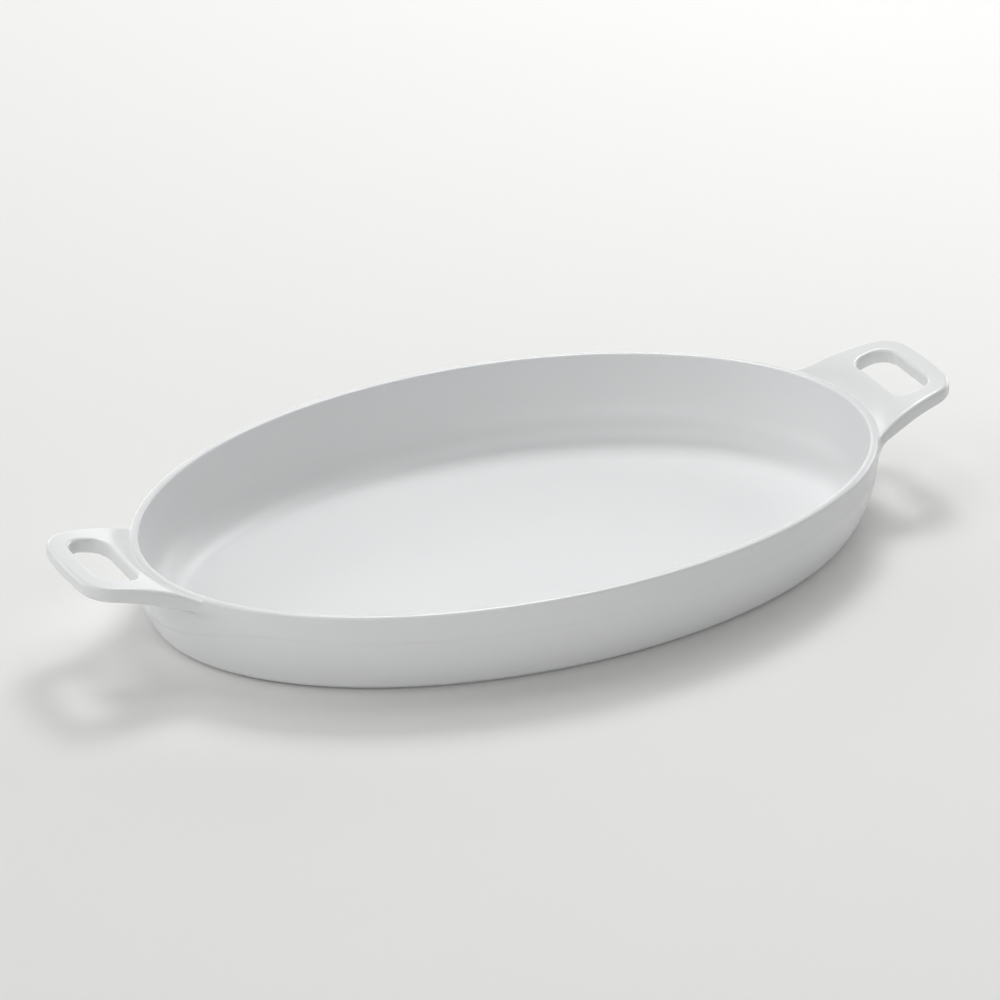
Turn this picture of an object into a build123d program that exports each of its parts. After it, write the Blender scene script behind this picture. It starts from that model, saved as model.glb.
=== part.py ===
"""Oval gratin dish: a cast iron body with two side handles, coated in white enamel.

Millimetres. +Z is up and +X runs towards one handle. The origin is in the middle
of the plane that the dish stands on.
"""
import os
from math import asin, cos, radians, sin, sqrt, tan

from build123d import *

# Rim, seen from above an ellipse, a little lower at its two ends
rim_half_length = 165.0
rim_half_width = 104.5
rim_height = 39.0
rim_end_drop = 2.0
rim_edge_radius = 1.2

# Wall: a straight band below the rim, a wide curve and a corner
wall_thickness = 3.6
band_height = 8.5
lower_wall_radius = 53.0
outer_corner_radius = 8.0
inner_corner_radius = 16.0

# Floor and the ground ring below it
floor_thickness = 3.8
foot_ring_height = 0.5
foot_ring_width = 5.0
foot_ring_inset = 3.0

# Enamel
coat_thickness = 0.35
coat_seam_inset = 3.0

# Handle plate, seen from the side
handle_reach = 35.5
handle_tip_rise = 10.7
handle_arch_radius = 110.0
handle_tip_slope = 1.6
handle_tip_thickness = 6.3
handle_root_thickness = 7.0
handle_edge_radius = 1.8

# Handle plate, seen from above
handle_side_taper = 11.6
handle_side_half_width = 32.3
handle_side_start = 2.0
handle_corner_radius = 13.5
handle_tip_bow_radius = 150.0
flare_radius = 43.0
flare_length = 20.0

# Finger hole
hole_start = 9.3
hole_length = 17.5
hole_half_width_root = 19.0
hole_half_width_tip = 20.0
hole_radius_root = 6.2
hole_radius_tip = 8.5
hole_edge_radius = 1.4

# Where the handle plate leaves the wall
groove_depth = 0.6
swell_length = 10.0
thinning_start = 3.0
thinning_length = 14.0
thinning_rise = 3.7
cove_radius = 2.5
cove_sink = 0.3
cove_turn = 80.0
slab_half_width = 42.0
slab_steps = 5
swell_steps = 6
plate_steps = 4

# Overrun for cuts, and the slack allowed when edges are told apart
overrun = 12.0
edge_slack = 0.01

# Heights and places that follow from the sizes above
underside = foot_ring_height
floor_top = underside + floor_thickness
floor_middle = underside + floor_thickness / 2
band_end = rim_height - band_height
rim_end_height = rim_height - rim_end_drop
rim_arc_radius = (rim_half_length**2 + rim_end_drop**2) / (2 * rim_end_drop)
inner_wall_radius = lower_wall_radius - wall_thickness
seam_wall_radius = lower_wall_radius - coat_seam_inset
seam_corner_radius = (outer_corner_radius + inner_corner_radius) / 2
handle_tip = rim_half_length + handle_reach


def wall_curve(face, large, corner, flat, skin):
    """One side of the wall's section: its points from above the rim down to the flat.

    The band, the wide curve and the corner run into each other smoothly. A skin
    draws the curve in towards its centres; a negative one moves it out.
    """
    turn = asin((band_end - flat - corner) / (large - corner))
    half = turn / 2
    steep = (turn + radians(90)) / 2
    large_x = face - large
    corner_x = large_x + (large - corner) * cos(turn)
    corner_z = flat + corner
    wide = large - skin
    tight = corner - skin
    points = [
        (face - skin, rim_height + overrun),
        (face - skin, band_end),
        (large_x + wide * cos(half), band_end - wide * sin(half)),
        (large_x + wide * cos(turn), band_end - wide * sin(turn)),
        (corner_x + tight * cos(steep), corner_z - tight * sin(steep)),
        (corner_x, flat + skin),
    ]
    return points


def curve_edges(points):
    """The straight band and the two arcs through one side's points."""
    band, wide_mid, knuckle, tight_mid, base = points[1:]
    return [
        Line(points[0], band),
        ThreePointArc(band, wide_mid, knuckle),
        ThreePointArc(knuckle, tight_mid, base),
    ]


def outside_points(skin):
    return wall_curve(rim_half_length, lower_wall_radius, outer_corner_radius, underside, skin)


def inside_points(skin):
    face = rim_half_length - wall_thickness
    return wall_curve(face, inner_wall_radius, inner_corner_radius, floor_top, -skin)


def upright_face(edges):
    """A face in the XZ plane inside a closed run of edges."""
    wire = Wire([edge for curve in edges for edge in curve.edges()])
    return Plane.XZ * Face(wire)


def rim_path(inset):
    return Wire([Edge.make_ellipse(rim_half_length - inset, rim_half_width - inset)])


def oval_slab(inset, low, high):
    """An upright slab whose outline is the rim's, drawn in by the inset."""
    slab = Solid.extrude(Face(rim_path(inset)), Vector(0, 0, high - low))
    return Pos(0, 0, low) * slab


def seam_points():
    """The surface inside the wall that parts the outer coat from the inner one."""
    face = rim_half_length - coat_seam_inset
    return wall_curve(face, seam_wall_radius, seam_corner_radius, floor_middle, 0)


def swept_solid(edges):
    """A section swept round the rim's outline, with its innermost face left out.

    The rings that this leaves open are closed with flat faces.
    """
    faces = sweep(upright_face(edges), rim_path(0)).faces()
    innermost = faces.sort_by(lambda face: face.bounding_box().size.X)[0]
    flats = [Face(Wire([edge])) for edge in innermost.edges() if edge.is_closed]
    kept = [face for face in faces if face is not innermost]
    return Solid(Shell(kept + flats))


def wall_and_floor(skin):
    """The bowl with a level rim that still stands too high."""
    outside = outside_points(skin)
    inside = inside_points(skin)
    edges = curve_edges(outside)
    edges.append(Line(outside[-1], inside[-1]))
    edges += curve_edges(inside)
    edges.append(Line(inside[0], outside[0]))
    return swept_solid(edges)


def seam_core():
    """Everything that lies within the surface that parts the two coats."""
    seam = seam_points()
    inner_top = (seam[-1][0], seam[0][1])
    edges = curve_edges(seam)
    edges.append(Line(seam[-1], inner_top))
    edges.append(Line(inner_top, seam[0]))
    return swept_solid(edges)


def rim_arc_height(x):
    """Height of the rim's top, which is lowest at the two ends."""
    return rim_height - rim_arc_radius + sqrt(rim_arc_radius**2 - x**2)


def above_rim(skin):
    """Everything above the rim's top."""
    reach = rim_half_length + overrun
    low = rim_arc_height(reach) - skin
    lid_top = rim_height + 2 * overrun
    edges = [
        ThreePointArc((-reach, low), (0, rim_height - skin), (reach, low)),
        Line((reach, low), (reach, lid_top)),
        Line((reach, lid_top), (-reach, lid_top)),
        Line((-reach, lid_top), (-reach, low)),
    ]
    return extrude(upright_face(edges), rim_half_width + overrun, both=True)


def bowl(skin):
    """Wall and floor with the rim cut to its arc and rounded on both sides."""
    cut = (wall_and_floor(skin) - above_rim(skin)).solid()
    rim_top = cut.faces().sort_by(Axis.Z)[-1]
    return fillet(rim_top.edges(), rim_edge_radius - skin).solid()


def foot_ring():
    """The bare ring of iron that the dish stands on."""
    outer_inset = rim_half_length - outside_points(0)[-1][0] + foot_ring_inset
    outer = oval_slab(outer_inset, 0, floor_middle)
    inner = oval_slab(outer_inset + foot_ring_width, -overrun, floor_top)
    return outer - inner


def arch_height(x, drop):
    """Height of the handle's arched top at a distance along X, lowered by a drop."""
    slope = radians(handle_tip_slope)
    centre_x = handle_tip + handle_arch_radius * sin(slope)
    centre_z = rim_end_height + handle_tip_rise - handle_arch_radius * cos(slope)
    radius = handle_arch_radius - drop
    return centre_z + sqrt(radius**2 - (x - centre_x) ** 2)


def rim_place(y):
    """Where the rim's outer face lies at one distance along Y, and its normal's X share."""
    x = rim_half_length * sqrt(1 - (y / rim_half_width) ** 2)
    normal_x = x / rim_half_length**2
    normal_y = y / rim_half_width**2
    return x, normal_x / sqrt(normal_x**2 + normal_y**2)


def top_height(x, y, skin):
    """Height of the handle's top, which swells up to its arch from a groove at the rim."""
    rim_x, lean = rim_place(y)
    sunk = arch_height(rim_x, 0) - rim_arc_height(rim_x) + groove_depth
    share = min(1, (x - rim_x) * lean / swell_length)
    return arch_height(x, skin) - sunk * (1 - share) ** 2


def under_height(x, y, skin):
    """Height of the handle's underside, which curves down into the wall in a cove.

    The plate gets thinner where its flares run back along the wall.
    """
    rim_x, lean = rim_place(y)
    thicker = handle_root_thickness - handle_tip_thickness
    thickness = handle_tip_thickness + thicker * (handle_tip - x) / handle_reach
    run = max(0, rim_half_length + thinning_start - x) / thinning_length
    thickness -= thinning_rise * run**2
    radius = cove_radius + skin
    gap = max(0, cove_radius - cove_sink - (x - rim_x) * lean)
    return arch_height(x, thickness - skin) - radius + sqrt(radius**2 - gap**2)


def root_section(y, skin):
    """The handle's section at one distance along Y, from inside the wall outwards."""
    rim_x, lean = rim_place(y)
    inner_x = rim_x - wall_thickness / 2 / lean
    far_x = handle_tip + overrun
    swell_x = rim_x + swell_length / lean
    cove_x = rim_x + (cove_radius - cove_sink) / lean
    cove_reach = (cove_radius + skin) / lean
    swell_shares = [step / swell_steps for step in range(swell_steps + 1)]
    plate_shares = [step / plate_steps for step in range(1, plate_steps + 1)]
    turns = [radians(cove_turn) * share for share in reversed(swell_shares)]
    top_x = [inner_x + share * (swell_x - inner_x) for share in swell_shares]
    top_x += [swell_x + share * (far_x - swell_x) for share in plate_shares]
    under_x = [cove_x - cove_reach * sin(turn) for turn in turns]
    under_x += [cove_x + share * (far_x - cove_x) for share in plate_shares]
    top = Spline(*[(x, top_height(x, y, skin)) for x in top_x])
    under = Spline(*[(x, under_height(x, y, skin)) for x in under_x])
    low = (inner_x, (under @ 0).Y)
    edges = [
        top,
        Line(top @ 1, under @ 1),
        under,
        Line(under @ 0, low),
        Line(low, top @ 0),
    ]
    return Pos(0, y, 0) * upright_face(edges)


def handle_slab(skin):
    """The sculpted slab that the handle plate is cut from."""
    half = [slab_half_width * step / slab_steps for step in range(1, slab_steps + 1)]
    stations = [-y for y in reversed(half)] + [0] + half
    return loft([root_section(y, skin) for y in stations])


def handle_outline(skin):
    """The handle seen from above: flares, tapered sides and a bowed tip."""
    taper = radians(handle_side_taper)
    side_x = rim_half_length + handle_side_start
    flare_x = rim_half_length - flare_length
    half_width = handle_side_half_width
    swing = asin(sin(taper) + (side_x - flare_x) / flare_radius)
    half_swing = (taper + swing) / 2
    flare_mid = (
        side_x - flare_radius * (sin(half_swing) - sin(taper)),
        half_width + flare_radius * (cos(taper) - cos(half_swing)),
    )
    flare_end = (flare_x, half_width + flare_radius * (cos(taper) - cos(swing)))
    tip_half_width = half_width - (handle_tip - side_x) * tan(taper)
    bow = handle_tip_bow_radius - sqrt(handle_tip_bow_radius**2 - tip_half_width**2)
    corner_x = handle_tip - bow
    side_start = (side_x, half_width)
    corner = (corner_x, half_width - (corner_x - side_x) * tan(taper))
    upper = [ThreePointArc(flare_end, flare_mid, side_start), Line(side_start, corner)]
    lower = [curve.mirror(Plane.XZ) for curve in upper]
    tip = ThreePointArc(corner, (handle_tip, 0), (corner[0], -corner[1]))
    back = Line(flare_end, (flare_end[0], -flare_end[1]))
    curves = upper + [tip] + lower + [back]
    outline = Face(Wire([edge for curve in curves for edge in curve.edges()]))
    corners = outline.vertices().sort_by(Axis.X)[-2:]
    rounded = outline.fillet_2d(handle_corner_radius, corners)
    return offset(rounded, -skin).face() if skin else rounded


def hole_outline(skin):
    """The finger hole seen from above: a trapezium with round corners."""
    root_x = rim_half_length + hole_start - skin
    tip_x = rim_half_length + hole_start + hole_length + skin
    root = hole_half_width_root + skin
    tip = hole_half_width_tip + skin
    points = [(root_x, -root), (tip_x, -tip), (tip_x, tip), (root_x, root)]
    outline = Face(Wire.make_polygon(points))
    root_corners = outline.vertices().sort_by(Axis.X)[:2]
    outline = outline.fillet_2d(hole_radius_root + skin, root_corners)
    tip_corners = outline.vertices().sort_by(Axis.X)[-2:]
    return outline.fillet_2d(hole_radius_tip + skin, tip_corners)


def standing_prism(face):
    """A face on the floor plane, extruded to above the handles."""
    return Solid.extrude(face, Vector(0, 0, rim_height + handle_tip_rise + overrun))


def is_upright(edge):
    start, end = edge @ 0, edge @ 1
    return abs(start.X - end.X) + abs(start.Y - end.Y) < edge_slack


def is_behind_rim(edge):
    """Edges that are hidden in the wall, or run along it from side to side."""
    start, middle, end = edge @ 0, edge @ 0.5, edge @ 1
    hidden = middle.X < rim_place(middle.Y)[0] - wall_thickness / 4
    across = abs(start.Y + end.Y) < edge_slack and middle.X < rim_half_length + edge_slack
    return hidden or across


def is_in_hole(edge, skin):
    middle = edge @ 0.5
    depth = middle.X - rim_half_length - hole_start
    margin = skin + edge_slack
    return -margin < depth < hole_length + margin and abs(middle.Y) < hole_half_width_tip + margin


def handle_plate(skin):
    """One handle: the sculpted plate with its finger hole and rounded edges."""
    plate = handle_slab(skin) & standing_prism(handle_outline(skin))
    plate = (plate - standing_prism(hole_outline(skin))).solid()
    outer_edges = [
        edge
        for edge in plate.edges()
        if not is_upright(edge) and not is_behind_rim(edge) and not is_in_hole(edge, skin)
    ]
    plate = fillet(outer_edges, handle_edge_radius - skin).solid()
    hole_edges = [
        edge for edge in plate.edges() if is_in_hole(edge, skin) and not is_upright(edge)
    ]
    return fillet(hole_edges, hole_edge_radius - skin).solid()


def dish_form(skin):
    """The bowl with its two handles."""
    plate = handle_plate(skin)
    return (bowl(skin) + plate + plate.mirror(Plane.YZ)).solid()


def save(shape, node):
    export_step(shape, f"parts/{node}.step")


os.makedirs("parts", exist_ok=True)
cast_body = (dish_form(coat_thickness) + foot_ring()).solid()
coat = dish_form(0) - cast_body
core = seam_core()
save(cast_body, "cast_body")
underside_coat, wall_coat = (coat - core).solids().sort_by(SortBy.VOLUME)
save(wall_coat, "exterior_enamel")
save(underside_coat, "underside_enamel")
save((coat & core).solid(), "interior_enamel")
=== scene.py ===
"""White enamelled gratin dish on a pale floor, seen from the photograph's angle.

The dish's form is worked out in millimetres and turned to metres when its meshes are
made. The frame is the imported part's: +Z up, +X along the dish towards one handle.
"""
from math import asin, cos, hypot, radians, sin, sqrt

import bpy
import numpy as np
from mathutils import Matrix, Vector


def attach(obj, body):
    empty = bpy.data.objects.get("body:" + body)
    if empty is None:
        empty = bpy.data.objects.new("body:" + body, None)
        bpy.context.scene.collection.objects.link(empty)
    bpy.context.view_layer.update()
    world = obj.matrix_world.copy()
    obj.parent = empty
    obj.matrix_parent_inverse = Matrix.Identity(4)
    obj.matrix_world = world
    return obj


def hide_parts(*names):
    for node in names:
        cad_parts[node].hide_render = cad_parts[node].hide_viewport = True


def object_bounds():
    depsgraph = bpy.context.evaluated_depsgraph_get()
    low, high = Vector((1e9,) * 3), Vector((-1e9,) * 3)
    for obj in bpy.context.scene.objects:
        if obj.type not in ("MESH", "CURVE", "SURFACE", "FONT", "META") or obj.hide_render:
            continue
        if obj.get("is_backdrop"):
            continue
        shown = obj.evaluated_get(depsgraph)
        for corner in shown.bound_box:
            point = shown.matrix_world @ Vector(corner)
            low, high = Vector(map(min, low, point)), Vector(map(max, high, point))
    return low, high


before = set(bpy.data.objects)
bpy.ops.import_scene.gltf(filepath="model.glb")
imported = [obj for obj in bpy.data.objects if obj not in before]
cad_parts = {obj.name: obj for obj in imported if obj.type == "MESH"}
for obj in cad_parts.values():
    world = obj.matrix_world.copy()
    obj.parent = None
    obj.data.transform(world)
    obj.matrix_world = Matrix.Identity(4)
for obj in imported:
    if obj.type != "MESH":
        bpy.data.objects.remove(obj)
cad_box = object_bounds()

# Camera, as fitted to the photograph
view_azimuth = radians(-27.552)
view_elevation = radians(27.494)
view_target = Vector((0.021357, 0.049947, 0))
view_distance = 2.43097
lens_mm = 207.16
sensor_mm = 36

# Bowl, in millimetres
rim_half_length = 165.0
rim_half_width = 104.5
rim_height = 39.0
rim_end_drop = 2.0
rim_edge_radius = 1.2
wall_thickness = 3.6
band_height = 8.5
lower_wall_radius = 53.0
outer_corner_radius = 8.0
inner_corner_radius = 16.0
underside = 0.5
floor_thickness = 3.8
ring_outer_inset = 16.75
coat_thickness = 0.35
coat_seam_inset = 3.0

# Handles, in millimetres
handle_reach = 35.5
handle_tip_rise = 10.7
handle_arch_radius = 110.0
handle_tip_slope = radians(1.6)
handle_tip_thickness = 6.3
handle_root_thickness = 7.0
handle_edge_radius = 1.8
handle_side_taper = radians(11.6)
handle_side_half_width = 32.3
handle_side_start = 2.0
handle_corner_radius = 13.5
handle_tip_bow_radius = 150.0
flare_radius = 43.0
flare_length = 20.0
flare_half_width = 44.5
hole_start = 9.3
hole_length = 17.5
hole_half_width_root = 19.0
hole_half_width_tip = 20.0
hole_radius_root = 6.2
hole_radius_tip = 8.5
hole_edge_radius = 1.4
groove_depth = 0.6
swell_length = 10.0
thinning_start = 3.0
thinning_length = 14.0
thinning_rise = 3.7

# Soft run of the handles into the wall, above and below, in millimetres
blend_above = 0.8
blend_below = 4.5
blend_span = 4.0

# Places that follow from the sizes above
floor_top = underside + floor_thickness
floor_middle = underside + floor_thickness / 2
band_end = rim_height - band_height
rim_end_height = rim_height - rim_end_drop
rim_arc_radius = (rim_half_length**2 + rim_end_drop**2) / (2 * rim_end_drop)
handle_tip = rim_half_length + handle_reach
side_x = rim_half_length + handle_side_start
hole_x = rim_half_length + hole_start

# Mesh steps, in millimetres, and rounds of finding the nearest point and of drawing points in
fine_step = 0.65
rim_step = 0.7
run_step = 1.6
tall_step = 1.3
margin = 3.5
handle_zone = 138.0
upper_zone = 26.0
grid_over_rim = 11.0
handle_share_of_width = 0.6
ellipse_rounds = 5
settle_rounds = 4
probe = 0.02
turns_round = 480
rounding_steps = 5
band_steps = 6
wide_steps = 14
corner_steps = 14
floor_rings = (0.93, 0.82, 0.68, 0.52, 0.35, 0.18)
metre = 0.001

# Enamel, iron and floor: linear colours, roughness, noise scales and depths in metres
enamel_white = (0.80, 0.81, 0.812)
enamel_shade = (0.785, 0.797, 0.802)
iron_dark = (0.045, 0.042, 0.040)
iron_bright = (0.16, 0.155, 0.15)
iron_brown = (0.07, 0.045, 0.03)
enamel_ior = 1.5
gloss_roughness = (0.21, 0.265)
satin_roughness = (0.38, 0.46)
cloud_scale = 14
gloss_patch_scale = 45
wave_scale = 70
grain_scale = 260
gloss_wave_depth = 0.00003
satin_wave_depth = 0.00002
grain_depth = 0.000001
iron_roughness = (0.38, 0.62)
iron_patch_scale = 60
scratch_scale = 120
scratch_stretch = (1, 14, 1)
scratch_depth = 0.00004
stain_share = 0.5
# Floor colours: the darker left and lighter right are painted light falloff across the floor, not
# the paper's own tone
floor_painted_shade_left = (0.763, 0.763, 0.753)
floor_painted_light_right = (0.93, 0.93, 0.916)
floor_shade_along = (0.965, -0.262, 0)
floor_shade_reach = (-0.5, 0.3)
floor_roughness = (0.85, 0.95)
floor_patch_scale = 30
paper_scale = 800
paper_depth = 0.00003
floor_specular = 0.2

# Line left by the mould on the outer wall, in metres
mould_line_height = 0.0265
mould_line_width = 0.0008
mould_line_depth = 0.00014
mould_line_wander = 0.0002
mould_line_wander_scale = 25
mould_line_bend_start = 0.137
mould_line_bend = 17.8

# Floor and light, in metres
floor_size = 12.0
backdrop_strength = 0.7
lamp_distance = 2.0

# Lamps: azimuth and elevation in degrees, width and height in metres, watts
lamps = (
    ("key_back", 56, 52, 0.6, 0.6, 12.4),
    ("overhead_back", 60, 70, 1.4, 1.4, 11.8),
    ("low_right", 20, 14, 1.4, 0.9, 12.4),
    ("low_back", 78, 12, 1.6, 0.8, 5.4),
    ("low_left", 142, 16, 1.6, 1.0, 8.8),
    ("left_back", 150, 35, 1.4, 1.4, 4.6),
    ("left", 175, 40, 1.4, 1.4, 5.2),
    ("left_front", 205, 25, 1.4, 1.4, 2.3),
    ("front_fill", 250, 30, 1.8, 1.4, 12.5),
)


def rim_offset(x, y):
    """Signed distance in plan from the rim's outline, negative inside it."""
    long, short = rim_half_length, rim_half_width
    px, py = np.broadcast_arrays(np.abs(x), np.abs(y))
    tx = np.full(px.shape, sqrt(0.5))
    ty = tx.copy()
    for _ in range(ellipse_rounds):
        ex = (long**2 - short**2) * tx**3 / long
        ey = (short**2 - long**2) * ty**3 / short
        near = np.hypot(long * tx - ex, short * ty - ey)
        away = np.maximum(np.hypot(px - ex, py - ey), 1e-9)
        tx = np.clip(((px - ex) * near / away + ex) / long, 0, 1)
        ty = np.clip(((py - ey) * near / away + ey) / short, 0, 1)
        size = np.hypot(tx, ty)
        tx, ty = tx / size, ty / size
    gap = np.hypot(px - long * tx, py - short * ty)
    return np.where((px / long) ** 2 + (py / short) ** 2 < 1, -gap, gap)


def wall_arcs(face, large, corner, flat):
    """Turn of the wide curve and the centres of both arcs of one side of the wall."""
    turn = asin((band_end - flat - corner) / (large - corner))
    large_x = face - large
    corner_x = large_x + (large - corner) * cos(turn)
    return turn, large_x, corner_x, flat + corner


def wall_distance(place, z, face, large, corner, flat):
    """Signed distance to one side of the wall's section, negative towards the middle."""
    turn, large_x, corner_x, corner_z = wall_arcs(face, large, corner, flat)
    wide = np.hypot(place - large_x, z - band_end) - large
    tight = np.hypot(place - corner_x, z - corner_z) - corner
    angle = np.arctan2(band_end - z, np.maximum(place - large_x, 1e-6))
    lower = np.where(angle < turn, wide, np.where(place > corner_x, tight, flat - z))
    return np.where(z >= band_end, np.maximum(place - face, flat - z), lower)


def outside_distance(place, z):
    return wall_distance(
        place, z, rim_half_length, lower_wall_radius, outer_corner_radius, underside
    )


def cavity_distance(place, z):
    face = rim_half_length - wall_thickness
    large = lower_wall_radius - wall_thickness
    return wall_distance(place, z, face, large, inner_corner_radius, floor_top)


def seam_distance(place, z):
    """Signed distance to the surface that parts the outer coat from the inner one."""
    face = rim_half_length - coat_seam_inset
    large = lower_wall_radius - coat_seam_inset
    corner = (outer_corner_radius + inner_corner_radius) / 2
    return wall_distance(place, z, face, large, corner, floor_middle)


def rim_top(x):
    """Height of the rim's top, which is lowest at the two ends."""
    return rim_height - rim_arc_radius + np.sqrt(rim_arc_radius**2 - x**2)


def arch_height(x, drop=0):
    """Height of the handle's arched top at a distance along X, lowered by a drop."""
    centre_x = handle_tip + handle_arch_radius * sin(handle_tip_slope)
    centre_z = rim_end_height + handle_tip_rise - handle_arch_radius * cos(handle_tip_slope)
    return centre_z + np.sqrt(np.maximum((handle_arch_radius - drop) ** 2 - (x - centre_x) ** 2, 1))


def rim_place(y):
    """Where the rim's outer face lies at one distance along Y, and its normal's X share."""
    y = np.minimum(np.abs(y), handle_share_of_width * rim_half_width)
    x = rim_half_length * np.sqrt(1 - (y / rim_half_width) ** 2)
    normal_x = x / rim_half_length**2
    normal_y = y / rim_half_width**2
    return x, normal_x / np.hypot(normal_x, normal_y)


def top_height(x, y):
    """Height of the handle's top, which swells up to its arch from a groove at the rim."""
    rim_x, lean = rim_place(y)
    sunk = arch_height(rim_x) - rim_top(rim_x) + groove_depth
    hidden = wall_thickness / 2 / swell_length
    share = np.clip((x - rim_x) * lean / swell_length, -hidden, 1)
    return arch_height(x) - sunk * (1 - share) ** 2


def under_height(x):
    """Height of the handle's underside; the plate is thinner where its flares run back."""
    thicker = handle_root_thickness - handle_tip_thickness
    thickness = handle_tip_thickness + thicker * (handle_tip - x) / handle_reach
    run = np.maximum(0, rim_half_length + thinning_start - x) / thinning_length
    return arch_height(x, thickness - thinning_rise * run**2)


def upright_share(height, *place):
    """How much nearer a sloping surface is than the height above it says."""
    total = 1
    for axis, value in enumerate(place):
        ahead, behind = list(place), list(place)
        ahead[axis] = value + probe
        behind[axis] = value - probe
        total = total + ((height(*ahead) - height(*behind)) / (2 * probe)) ** 2
    return 1 / np.sqrt(total)


def outline_distance(x, y):
    """Signed distance in plan from the handle's outline, negative inside it."""
    y = np.abs(y)
    along = (cos(handle_side_taper), -sin(handle_side_taper))
    out = (sin(handle_side_taper), cos(handle_side_taper))
    from_x, from_y = x - side_x, y - handle_side_half_width
    side = from_x * out[0] + from_y * out[1]
    bend_x, bend_y = from_x - flare_radius * out[0], from_y - flare_radius * out[1]
    flare = flare_radius - np.hypot(bend_x, bend_y)
    edge = np.where(from_x * along[0] + from_y * along[1] < 0, flare, side)
    bow_x = handle_tip - handle_tip_bow_radius
    bow = np.hypot(x - bow_x, y) - handle_tip_bow_radius
    start_x = side_x - handle_corner_radius * out[0] - bow_x
    start_y = handle_side_half_width - handle_corner_radius * out[1]
    half = start_x * along[0] + start_y * along[1]
    rest = start_x**2 + start_y**2 - (handle_tip_bow_radius - handle_corner_radius) ** 2
    reach = sqrt(half**2 - rest) - half
    corner_x = start_x + reach * along[0]
    corner_y = start_y + reach * along[1]
    to_x, to_y = x - bow_x - corner_x, y - corner_y
    corner = np.hypot(to_x, to_y) - handle_corner_radius
    past_side = to_x * along[0] + to_y * along[1] > 0
    past_bow = to_y * corner_x - to_x * corner_y > 0
    plan = np.where(past_side & past_bow, corner, np.maximum(edge, bow))
    flare_x = rim_half_length - flare_length
    return np.maximum(plan, np.maximum(flare_x - x, y - flare_half_width))


def hole_distance(x, y):
    """Signed distance in plan from the finger hole's outline, negative inside it."""
    y = np.abs(y)
    widening = hole_half_width_tip - hole_half_width_root
    size = hypot(widening, hole_length)
    out = (-widening / size, hole_length / size)
    side = (x - hole_x) * out[0] + (y - hole_half_width_root) * out[1]
    plan = np.maximum(side, np.maximum(hole_x - x, x - hole_x - hole_length))
    corners = (
        (hole_x, -1, hole_radius_root),
        (hole_x + hole_length, 1, hole_radius_tip),
    )
    for edge_x, way, radius in corners:
        corner_x = edge_x - way * radius
        corner_y = hole_half_width_root - (radius + (corner_x - hole_x) * out[0]) / out[1]
        to_x, to_y = x - corner_x, y - corner_y
        past_side = way * (to_x * out[1] - to_y * out[0]) > 0
        corner = np.hypot(to_x, to_y) - radius
        plan = np.where(past_side & (to_y > 0), corner, plan)
    return plan


def round_max(a, b, radius):
    """What two forms share, with the edge between them rounded."""
    corner = np.hypot(np.maximum(a + radius, 0), np.maximum(b + radius, 0))
    return np.minimum(np.maximum(a, b), -radius) + corner


def round_min(a, b, radius):
    """Two forms joined, with a hollow curve between them."""
    corner = np.hypot(np.maximum(radius - a, 0), np.maximum(radius - b, 0))
    return np.maximum(np.minimum(a, b), radius) - corner


def handle_distance(x, y, z, offset):
    """Signed distance to the handle plates and the radius that runs them into the wall."""
    x = np.abs(x)
    plan_x = np.maximum(x, handle_zone)
    top = top_height(plan_x, y)
    under = under_height(plan_x)
    above = (z - top) * upright_share(top_height, plan_x, y)
    below = (under - z) * upright_share(under_height, plan_x)
    plate = round_max(np.maximum(above, below), outline_distance(x, y), handle_edge_radius)
    plate = round_max(plate, -hole_distance(x, y), hole_edge_radius)
    plate = np.maximum(plate, -offset - wall_thickness / 2)
    share = np.clip((z - (top + under) / 2) / blend_span + 0.5, 0, 1)
    share = share * share * (3 - 2 * share)
    return plate, blend_below + (blend_above - blend_below) * share


def dish_distance(x, y, z):
    """Signed distance to the dish, true beside its surface."""
    offset = rim_offset(x, y)
    place = rim_half_length + offset
    over_rim = z - rim_top(np.clip(x, -rim_half_length, rim_half_length))
    block = round_max(outside_distance(place, z), over_rim, rim_edge_radius)
    plate, blend = handle_distance(x, y, z, offset)
    solid = round_min(block, plate, blend)
    return round_max(solid, -cavity_distance(place, z), rim_edge_radius)


def slopes(distance, points):
    """Gradient of a distance at each point."""
    result = np.empty_like(points)
    for axis in range(points.shape[1]):
        step = np.zeros(points.shape[1])
        step[axis] = probe
        rise = distance(*(points + step).T) - distance(*(points - step).T)
        result[:, axis] = rise / (2 * probe)
    return result


def unit(vectors):
    return vectors / np.linalg.norm(vectors, axis=1, keepdims=True)


def settle(points):
    """Points drawn on to the dish's surface."""
    points = points.copy()
    for _ in range(settle_rounds):
        gradient = slopes(dish_distance, points)
        size = np.linalg.norm(gradient, axis=1)
        step = np.clip(dish_distance(*points.T) / size, -fine_step, fine_step)
        points -= gradient * (step / size)[:, None]
    return points


def grid_lines(first, *runs):
    """Grid lines from a first place through runs of (end, step)."""
    lines = [first]
    for end, step in runs:
        start = lines[-1]
        count = round((end - start) / step)
        lines += [start + (end - start) * (n + 1) / count for n in range(count)]
    return np.array(lines)


def cell_points(lines, field, cells):
    """The middle of the places where the surface crosses each cell's edges."""
    total = np.zeros((len(cells), 3))
    crossings = np.zeros(len(cells))
    for axis in range(3):
        for corner in ((0, 0), (0, 1), (1, 0), (1, 1)):
            low = cells.copy()
            low[:, (axis + 1) % 3] += corner[0]
            low[:, (axis + 2) % 3] += corner[1]
            high = low.copy()
            high[:, axis] += 1
            a, b = field[tuple(low.T)], field[tuple(high.T)]
            hit = (a < 0) != (b < 0)
            share = np.where(hit, a / np.where(hit, a - b, 1), 0)[:, None]
            start = np.stack([lines[k][low[:, k]] for k in range(3)], 1)
            end = np.stack([lines[k][high[:, k]] for k in range(3)], 1)
            total += np.where(hit[:, None], start + (end - start) * share, 0)
            crossings += hit
    return total / crossings[:, None]


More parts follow.
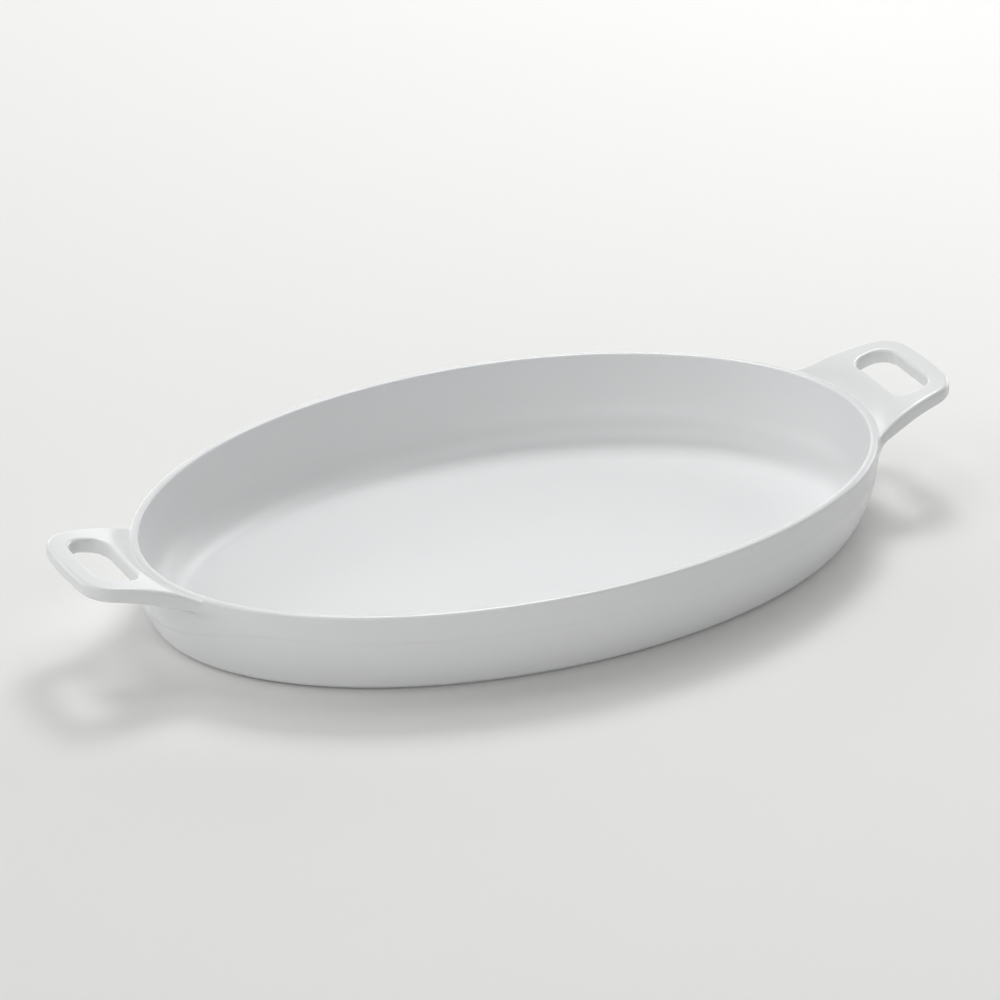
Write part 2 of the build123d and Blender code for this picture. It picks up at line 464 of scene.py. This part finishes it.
def surface_net(lines, field):
    """A mesh of four-sided faces where the field changes sign: points and faces."""
    inside = field < 0
    filled = np.zeros([size - 1 for size in inside.shape], int)
    for i in (0, 1):
        for j in (0, 1):
            for k in (0, 1):
                ends = [size - 1 + step for size, step in zip(inside.shape, (i, j, k))]
                filled += inside[i : ends[0], j : ends[1], k : ends[2]]
    crossed = (filled > 0) & (filled < 8)
    cells = np.argwhere(crossed)
    number = np.full(crossed.shape, -1)
    number[crossed] = np.arange(len(cells))
    faces = []
    for axis in range(3):
        near = [slice(1, -1)] * 3
        far = list(near)
        near[axis] = slice(None, -1)
        far[axis] = slice(1, None)
        a, b = inside[tuple(near)], inside[tuple(far)]
        for outward, order in ((a & ~b, (0, 1, 2, 3)), (b & ~a, (3, 2, 1, 0))):
            edge = np.argwhere(outward)
            sides = []
            for back in ((0, 0), (1, 0), (1, 1), (0, 1)):
                cell = edge.copy()
                cell[:, (axis + 1) % 3] += back[0]
                cell[:, (axis + 2) % 3] += back[1]
                sides.append(number[tuple(cell.T)])
            faces.append(np.stack([sides[n] for n in order], 1))
    return cell_points(lines, field, cells), np.concatenate(faces)


def kept_part(points, faces):
    """Only the faces that are named, and the points that they use."""
    used, renumbered = np.unique(faces, return_inverse=True)
    return points[used], renumbered.reshape(faces.shape)


def outer_side(points):
    """How far each point lies on the outer coat's side of that coat's two ends."""
    offset = rim_offset(points[:, 0], points[:, 1])
    seam = seam_distance(rim_half_length + offset, points[:, 2])
    return seam, offset + ring_outer_inset


def level_on_form(points):
    """Points raised or lowered on to the dish's surface."""
    for _ in range(settle_rounds):
        high = points + (0, 0, probe)
        low = points - (0, 0, probe)
        slope = (dish_distance(*high.T) - dish_distance(*low.T)) / (2 * probe)
        points[:, 2] -= dish_distance(*points.T) / slope
    return points


def trimmed(points, faces):
    """The outer coat's part of the dish's surface, ending on its two clean edges."""
    seam, ring = outer_side(points)
    within = (seam > 0) & (ring > 0)
    points, faces = kept_part(points, faces[within[faces].any(axis=1)])
    seam, ring = outer_side(points)
    outward = slopes(rim_offset, points[:, :2])
    at_seam = seam <= 0
    at_ring = (ring <= 0) & ~at_seam
    points[at_seam, :2] -= outward[at_seam] * seam[at_seam, None]
    points[at_ring, :2] -= outward[at_ring] * ring[at_ring, None]
    points[at_seam] = level_on_form(points[at_seam])
    points[at_ring, 2] = underside
    return points, faces


def open_edges(faces):
    """Edges of only one face, in that face's own direction."""
    edges = np.concatenate([faces[:, [k, (k + 1) % 4]] for k in range(4)])
    key = np.sort(edges, axis=1)
    _, place, count = np.unique(key, axis=0, return_inverse=True, return_counts=True)
    return edges[count[place.ravel()] == 1]


def thickened(points, faces, normals):
    """A closed coat below an open surface: points, faces and a normal at each corner."""
    count = len(points)
    rim = open_edges(faces)
    sides = np.stack([rim[:, 1], rim[:, 0], rim[:, 0] + count, rim[:, 1] + count], 1)
    all_points = np.concatenate([points, points - normals * coat_thickness])
    all_faces = np.concatenate([faces, faces[:, ::-1] + count, sides])
    across = all_points[sides[:, 2]] - all_points[sides[:, 1]]
    side_normals = unit(np.cross(all_points[sides[:, 1]] - all_points[sides[:, 0]], across))
    corner_normals = np.concatenate([
        normals[faces],
        -normals[faces[:, ::-1]],
        np.repeat(side_normals[:, None], 4, axis=1),
    ])
    return all_points, all_faces, corner_normals


def outer_surface():
    """The outer coat's surface, from the rim over wall and handles to the ground ring."""
    reach = handle_tip + margin
    width = rim_half_width + margin
    top = rim_height + grid_over_rim
    lines = (
        grid_lines(-reach, (-handle_zone, fine_step), (handle_zone, run_step), (reach, fine_step)),
        grid_lines(-width, (width, rim_step)),
        grid_lines(underside - tall_step, (upper_zone, tall_step), (top, fine_step)),
    )
    field = dish_distance(lines[0][:, None, None], lines[1][None, :, None], lines[2][None, None, :])
    points, faces = surface_net(lines, field)
    seam, ring = outer_side(points)
    near = (seam > -2 * run_step) & (ring > -2 * run_step)
    points, faces = kept_part(points, faces[near[faces].all(axis=1)])
    return trimmed(settle(points), faces)


def inner_profile():
    """The inner coat's section: (inset from the rim's outline, depth, hung from the rim)."""
    face = rim_half_length - wall_thickness
    large = lower_wall_radius - wall_thickness
    turn, large_x, corner_x, corner_z = wall_arcs(face, large, inner_corner_radius, floor_top)
    crest = wall_thickness - rim_edge_radius
    start = asin((coat_seam_inset - crest) / rim_edge_radius)
    section = []
    for n in range(rounding_steps + 1):
        angle = start + (radians(90) - start) * n / rounding_steps
        inset = crest + rim_edge_radius * sin(angle)
        section.append((inset, rim_edge_radius * (1 - cos(angle)), 1.0))
    for n in range(1, band_steps):
        section.append((wall_thickness, n / band_steps, None))
    for n in range(wide_steps):
        angle = turn * n / wide_steps
        place = large_x + large * cos(angle)
        section.append((rim_half_length - place, band_end - large * sin(angle), 0.0))
    for n in range(corner_steps + 1):
        angle = turn + (radians(90) - turn) * n / corner_steps
        place = corner_x + inner_corner_radius * cos(angle)
        section.append((rim_half_length - place, corner_z - inner_corner_radius * sin(angle), 0.0))
    return section


def inner_surface():
    """The inner coat's surface, from its seam on the rim down over the floor."""
    turns = 2 * np.pi * np.arange(turns_round) / turns_round
    edge = np.stack([rim_half_length * np.cos(turns), rim_half_width * np.sin(turns)], 1)
    outward = unit(edge / (rim_half_length**2, rim_half_width**2))
    rows = []
    for inset, depth, hung in inner_profile():
        plan = edge - outward * inset
        hang = rim_top(plan[:, 0])
        if hung is None:
            foot = hang - rim_edge_radius
            height = foot + (band_end - foot) * depth
        elif hung:
            height = hang - depth
        else:
            height = np.full(turns_round, depth)
        rows.append(np.column_stack([plan, height]))
    last = rows[-1]
    for share in floor_rings:
        rows.append(last * (share, share, 1))
    points = np.concatenate(rows + [np.array([[0, 0, floor_top]])])
    here = np.arange(turns_round)
    after = (here + 1) % turns_round
    faces = []
    for row in range(len(rows) - 1):
        a, b = row * turns_round, (row + 1) * turns_round
        faces.append(np.stack([a + here, a + after, b + after, b + here], 1))
    return points, np.concatenate(faces), (len(rows) - 1) * turns_round


def add_coat(name, slot, node, material, points, faces, corner_normals):
    """A coat of enamel, turned to metres, that stands for a node of the part."""
    mesh = bpy.data.meshes.new(name)
    mesh.from_pydata((points * metre).tolist(), [], [list(face) for face in faces])
    mesh.polygons.foreach_set("use_smooth", [True] * len(mesh.polygons))
    mesh.materials.append(material)
    mesh.normals_split_custom_set(corner_normals)
    mesh.validate()
    piece = bpy.data.objects.new(name, mesh)
    bpy.context.scene.collection.objects.link(piece)
    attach(piece, "root")
    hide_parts(node)


def add_outer_coat(material):
    points, faces = outer_surface()
    normals = unit(slopes(dish_distance, points))
    points, faces, corner_normals = thickened(points, faces, normals)
    names = ("exterior_coat", "gloss_enamel", "exterior_enamel")
    add_coat(*names, material, points, faces.tolist(), corner_normals.reshape(-1, 3).tolist())


def add_inner_coat(material):
    points, faces, last_ring = inner_surface()
    normals = unit(slopes(dish_distance, points))
    count = len(points)
    here = np.arange(turns_round)
    after = (here + 1) % turns_round
    cap = np.stack([last_ring + here, last_ring + after, np.full(turns_round, count - 1)], 1)
    seam = np.stack([after, here, here + count, after + count], 1)
    below = points - normals * coat_thickness
    all_points = np.concatenate([points, below])
    all_faces = faces.tolist() + cap.tolist()
    all_faces += (faces[:, ::-1] + count).tolist() + (cap[:, ::-1] + count).tolist() + seam.tolist()
    side = unit(np.cross(points[here] - points[after], below[here] - points[here]))
    corner_normals = np.concatenate([
        normals[faces].reshape(-1, 3),
        normals[cap].reshape(-1, 3),
        -normals[faces[:, ::-1]].reshape(-1, 3),
        -normals[cap[:, ::-1]].reshape(-1, 3),
        np.repeat(side, 4, axis=0),
    ])
    names = ("interior_coat", "satin_enamel", "interior_enamel")
    add_coat(*names, material, all_points, all_faces, corner_normals.tolist())


def new_material(name):
    """An empty node material, with its tree and shader."""
    material = bpy.data.materials.new(name)
    material.use_nodes = True
    tree = material.node_tree
    return material, tree, tree.nodes["Principled BSDF"]


def add_noise(tree, scale, detail, stretch=(1, 1, 1)):
    """A noise texture over the object's own coordinates."""
    places = tree.nodes.new("ShaderNodeTexCoord")
    mapping = tree.nodes.new("ShaderNodeMapping")
    mapping.inputs["Scale"].default_value = stretch
    noise = tree.nodes.new("ShaderNodeTexNoise")
    noise.inputs["Scale"].default_value = scale
    noise.inputs["Detail"].default_value = detail
    tree.links.new(places.outputs["Object"], mapping.inputs["Vector"])
    tree.links.new(mapping.outputs["Vector"], noise.inputs["Vector"])
    return noise.outputs["Fac"]


def add_range(tree, value, low, high, start=0.3, end=0.7):
    """A value spread from one range on to another."""
    spread = tree.nodes.new("ShaderNodeMapRange")
    spread.inputs["From Min"].default_value = start
    spread.inputs["From Max"].default_value = end
    spread.inputs["To Min"].default_value = low
    spread.inputs["To Max"].default_value = high
    tree.links.new(value, spread.inputs["Value"])
    return spread.outputs["Result"]


def add_blend(tree, share, first, second):
    """A colour between two colours."""
    blend = tree.nodes.new("ShaderNodeMix")
    blend.data_type = "RGBA"
    blend.inputs["A"].default_value = (*first, 1)
    blend.inputs["B"].default_value = (*second, 1)
    tree.links.new(share, blend.inputs["Factor"])
    return blend.outputs["Result"]


def add_bump(tree, height, distance, under=None):
    """A bump of a depth in metres, on top of another one."""
    bump = tree.nodes.new("ShaderNodeBump")
    bump.inputs["Strength"].default_value = 1
    bump.inputs["Distance"].default_value = distance
    tree.links.new(height, bump.inputs["Height"])
    if under:
        tree.links.new(under, bump.inputs["Normal"])
    return bump.outputs["Normal"]


def add_math(tree, operation, *values):
    """One Math node's result for values that are numbers or other nodes' outputs."""
    node = tree.nodes.new("ShaderNodeMath")
    node.operation = operation
    for socket, value in zip(node.inputs, values):
        if isinstance(value, (int, float)):
            socket.default_value = value
        else:
            tree.links.new(value, socket)
    return node.outputs["Value"]


def add_mould_step(tree, under):
    """The faint step round the wall where the casting's two moulds met.

    It runs level and bends down below the handles.
    """
    places = tree.nodes.new("ShaderNodeTexCoord")
    place = tree.nodes.new("ShaderNodeSeparateXYZ")
    tree.links.new(places.outputs["Object"], place.inputs["Vector"])
    outward = add_math(tree, "ABSOLUTE", place.outputs["X"])
    past = add_math(tree, "SUBTRACT", outward, mould_line_bend_start)
    past = add_math(tree, "MAXIMUM", past, 0)
    bend = add_math(tree, "MULTIPLY", add_math(tree, "MULTIPLY", past, past), mould_line_bend)
    wander = add_noise(tree, mould_line_wander_scale, 2)
    wander = add_range(tree, wander, -mould_line_wander, mould_line_wander)
    height = add_math(tree, "ADD", add_math(tree, "ADD", place.outputs["Z"], bend), wander)
    low = mould_line_height - mould_line_width / 2
    rise = add_range(tree, height, 0, 1, low, low + mould_line_width)
    return add_bump(tree, rise, mould_line_depth, under)


def enamel_material(name, roughness, wave_depth, has_mould_line):
    """Fired enamel: faint clouds of colour, uneven gloss, long waves and a fine grain."""
    material, tree, shader = new_material(name)
    clouds = add_range(tree, add_noise(tree, cloud_scale, 3), 0, 1)
    tree.links.new(add_blend(tree, clouds, enamel_white, enamel_shade), shader.inputs["Base Color"])
    patches = add_range(tree, add_noise(tree, gloss_patch_scale, 4), *roughness)
    tree.links.new(patches, shader.inputs["Roughness"])
    form = add_bump(tree, add_noise(tree, wave_scale, 1), wave_depth)
    form = add_bump(tree, add_noise(tree, grain_scale, 2), grain_depth, form)
    if has_mould_line:
        form = add_mould_step(tree, form)
    tree.links.new(form, shader.inputs["Normal"])
    shader.inputs["IOR"].default_value = enamel_ior
    return material


def iron_material():
    """Ground iron: scratches, dull patches and a little brown."""
    material, tree, shader = new_material("bare_iron")
    patches = add_range(tree, add_noise(tree, iron_patch_scale, 5), 0, 1)
    scratches = add_noise(tree, scratch_scale, 6, scratch_stretch)
    metal = add_blend(tree, add_range(tree, scratches, 0, 1), iron_dark, iron_bright)
    stain = tree.nodes.new("ShaderNodeMix")
    stain.data_type = "RGBA"
    stain.inputs["B"].default_value = (*iron_brown, 1)
    tree.links.new(add_range(tree, patches, 0, stain_share, 0.5, 1), stain.inputs["Factor"])
    tree.links.new(metal, stain.inputs["A"])
    tree.links.new(stain.outputs["Result"], shader.inputs["Base Color"])
    tree.links.new(add_range(tree, patches, *iron_roughness, 0, 1), shader.inputs["Roughness"])
    tree.links.new(add_bump(tree, scratches, scratch_depth), shader.inputs["Normal"])
    shader.inputs["Metallic"].default_value = 1
    return material


def floor_material():
    """Pale paper with painted light falloff: its colour darkens towards the left and lightens
    towards the right.
    """
    material, tree, shader = new_material("pale_floor")
    place = tree.nodes.new("ShaderNodeNewGeometry")
    along = tree.nodes.new("ShaderNodeVectorMath")
    along.operation = "DOT_PRODUCT"
    along.inputs[1].default_value = floor_shade_along
    tree.links.new(place.outputs["Position"], along.inputs[0])
    share = add_range(tree, along.outputs["Value"], 0, 1, *floor_shade_reach)
    # Painted light falloff: floor colour blends from painted shade on the left to painted light on
    # the right
    tree.links.new(add_blend(tree, share, floor_painted_shade_left, floor_painted_light_right), shader.inputs["Base Color"])
    patches = add_range(tree, add_noise(tree, floor_patch_scale, 4), *floor_roughness)
    tree.links.new(patches, shader.inputs["Roughness"])
    paper = add_bump(tree, add_noise(tree, paper_scale, 3), paper_depth)
    tree.links.new(paper, shader.inputs["Normal"])
    shader.inputs["Specular IOR Level"].default_value = floor_specular
    return material


def dress(node, material):
    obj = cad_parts[node]
    obj.data.materials.clear()
    obj.data.materials.append(material)


def add_floor():
    bpy.ops.mesh.primitive_plane_add(size=floor_size)
    floor = bpy.context.object
    floor.name = "floor"
    floor.data.materials.append(floor_material())
    floor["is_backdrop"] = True


def add_lamp(name, azimuth, elevation, width, height, power):
    """A soft box that faces the dish, placed by its angles."""
    light = bpy.data.lights.new(name, "AREA")
    light.shape = "RECTANGLE"
    light.size = width
    light.size_y = height
    light.energy = power
    lamp = bpy.data.objects.new(name, light)
    bpy.context.scene.collection.objects.link(lamp)
    turn, rise = radians(azimuth), radians(elevation)
    away = Vector((cos(rise) * cos(turn), cos(rise) * sin(turn), sin(rise)))
    lamp.location = away * lamp_distance
    lamp.rotation_euler = (-away).to_track_quat("-Z", "Y").to_euler()


def add_world():
    """A pale backdrop that is seen, also in what shines, and gives no light of its own."""
    world = bpy.data.worlds.new("studio")
    bpy.context.scene.world = world
    world.use_nodes = True
    tree = world.node_tree
    background = tree.nodes["Background"]
    background.inputs["Color"].default_value = (1, 1, 1, 1)
    path = tree.nodes.new("ShaderNodeLightPath")
    seen = path.outputs["Is Camera Ray"]
    for ray in ("Is Glossy Ray", "Is Transmission Ray"):
        seen = add_math(tree, "MAXIMUM", seen, path.outputs[ray])
    strength = add_range(tree, seen, 0, backdrop_strength, 0, 1)
    tree.links.new(strength, background.inputs["Strength"])


def add_camera():
    back = Vector((
        sin(view_azimuth) * cos(view_elevation),
        -cos(view_azimuth) * cos(view_elevation),
        sin(view_elevation),
    ))
    right = (-back).cross(Vector((0, 0, 1))).normalized()
    up = back.cross(right)
    camera = bpy.data.cameras.new("camera")
    camera.sensor_width = sensor_mm
    camera.lens = lens_mm
    rig = bpy.data.objects.new("camera", camera)
    bpy.context.scene.collection.objects.link(rig)
    place = Matrix((right, up, back)).transposed().to_4x4()
    place.translation = view_target + back * view_distance
    rig.matrix_world = place
    bpy.context.scene.camera = rig


def write_sizes():
    boxes = {"cad": cad_box, "visual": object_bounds()}
    boxes = {name: [list(corner) for corner in box] for name, box in boxes.items()}


gloss = enamel_material("gloss_enamel", gloss_roughness, gloss_wave_depth, True)
satin = enamel_material("satin_enamel", satin_roughness, satin_wave_depth, False)
add_outer_coat(gloss)
add_inner_coat(satin)
dress("underside_enamel", gloss)
dress("cast_body", iron_material())
add_floor()
add_world()
for lamp in lamps:
    add_lamp(*lamp)
add_camera()
bpy.context.scene.view_settings.view_transform = "Standard"
write_sizes()
